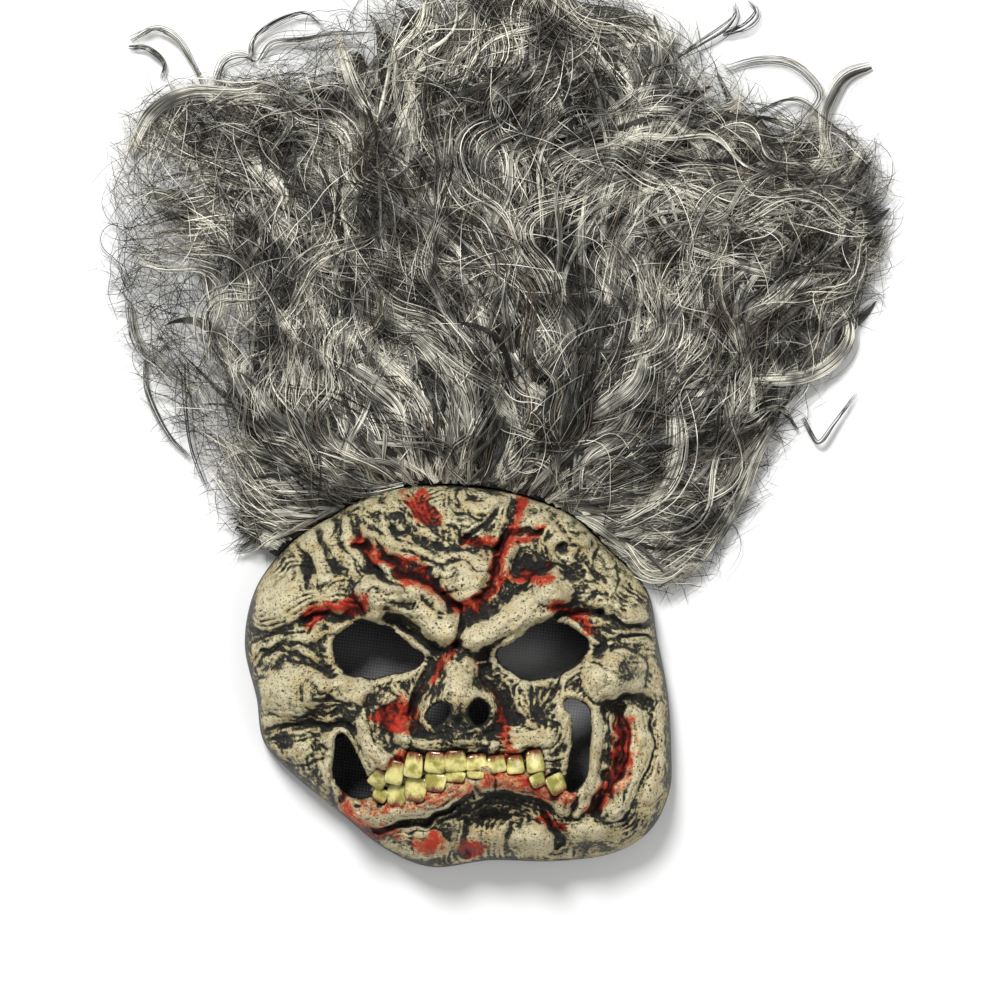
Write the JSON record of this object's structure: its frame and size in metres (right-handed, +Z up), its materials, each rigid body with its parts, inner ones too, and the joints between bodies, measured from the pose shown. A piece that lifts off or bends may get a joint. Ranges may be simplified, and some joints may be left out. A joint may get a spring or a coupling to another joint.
{
  "type": "zombie mask",
  "caption": "Costume mask with a moulded zombie face, open eyes, bared teeth, a black cloth hood behind it and a long, frizzy grey wig spread out above the forehead.",
  "frame": {"origin": "middle of the footprint, on the surface that the mask lies on face up", "axes": "+X across the face to the right as seen from above, +Y from the chin over the forehead and along the hair, +Z up out of the face"},
  "size_m": [0.4014, 0.4378, 0.0827],
  "materials": {
    "painted_vinyl": "black vinyl dry-brushed with cream, with red paint in the wounds and glossy yellow-green teeth",
    "knit_cloth": "fine black knit",
    "synthetic_hair": "frizzy fibre, black and silver strands mixed"
  },
  "bodies": {
    "root": {"face_shell": "painted_vinyl", "hood": "knit_cloth", "wig_hair": "synthetic_hair"}
  },
  "joints": []
}
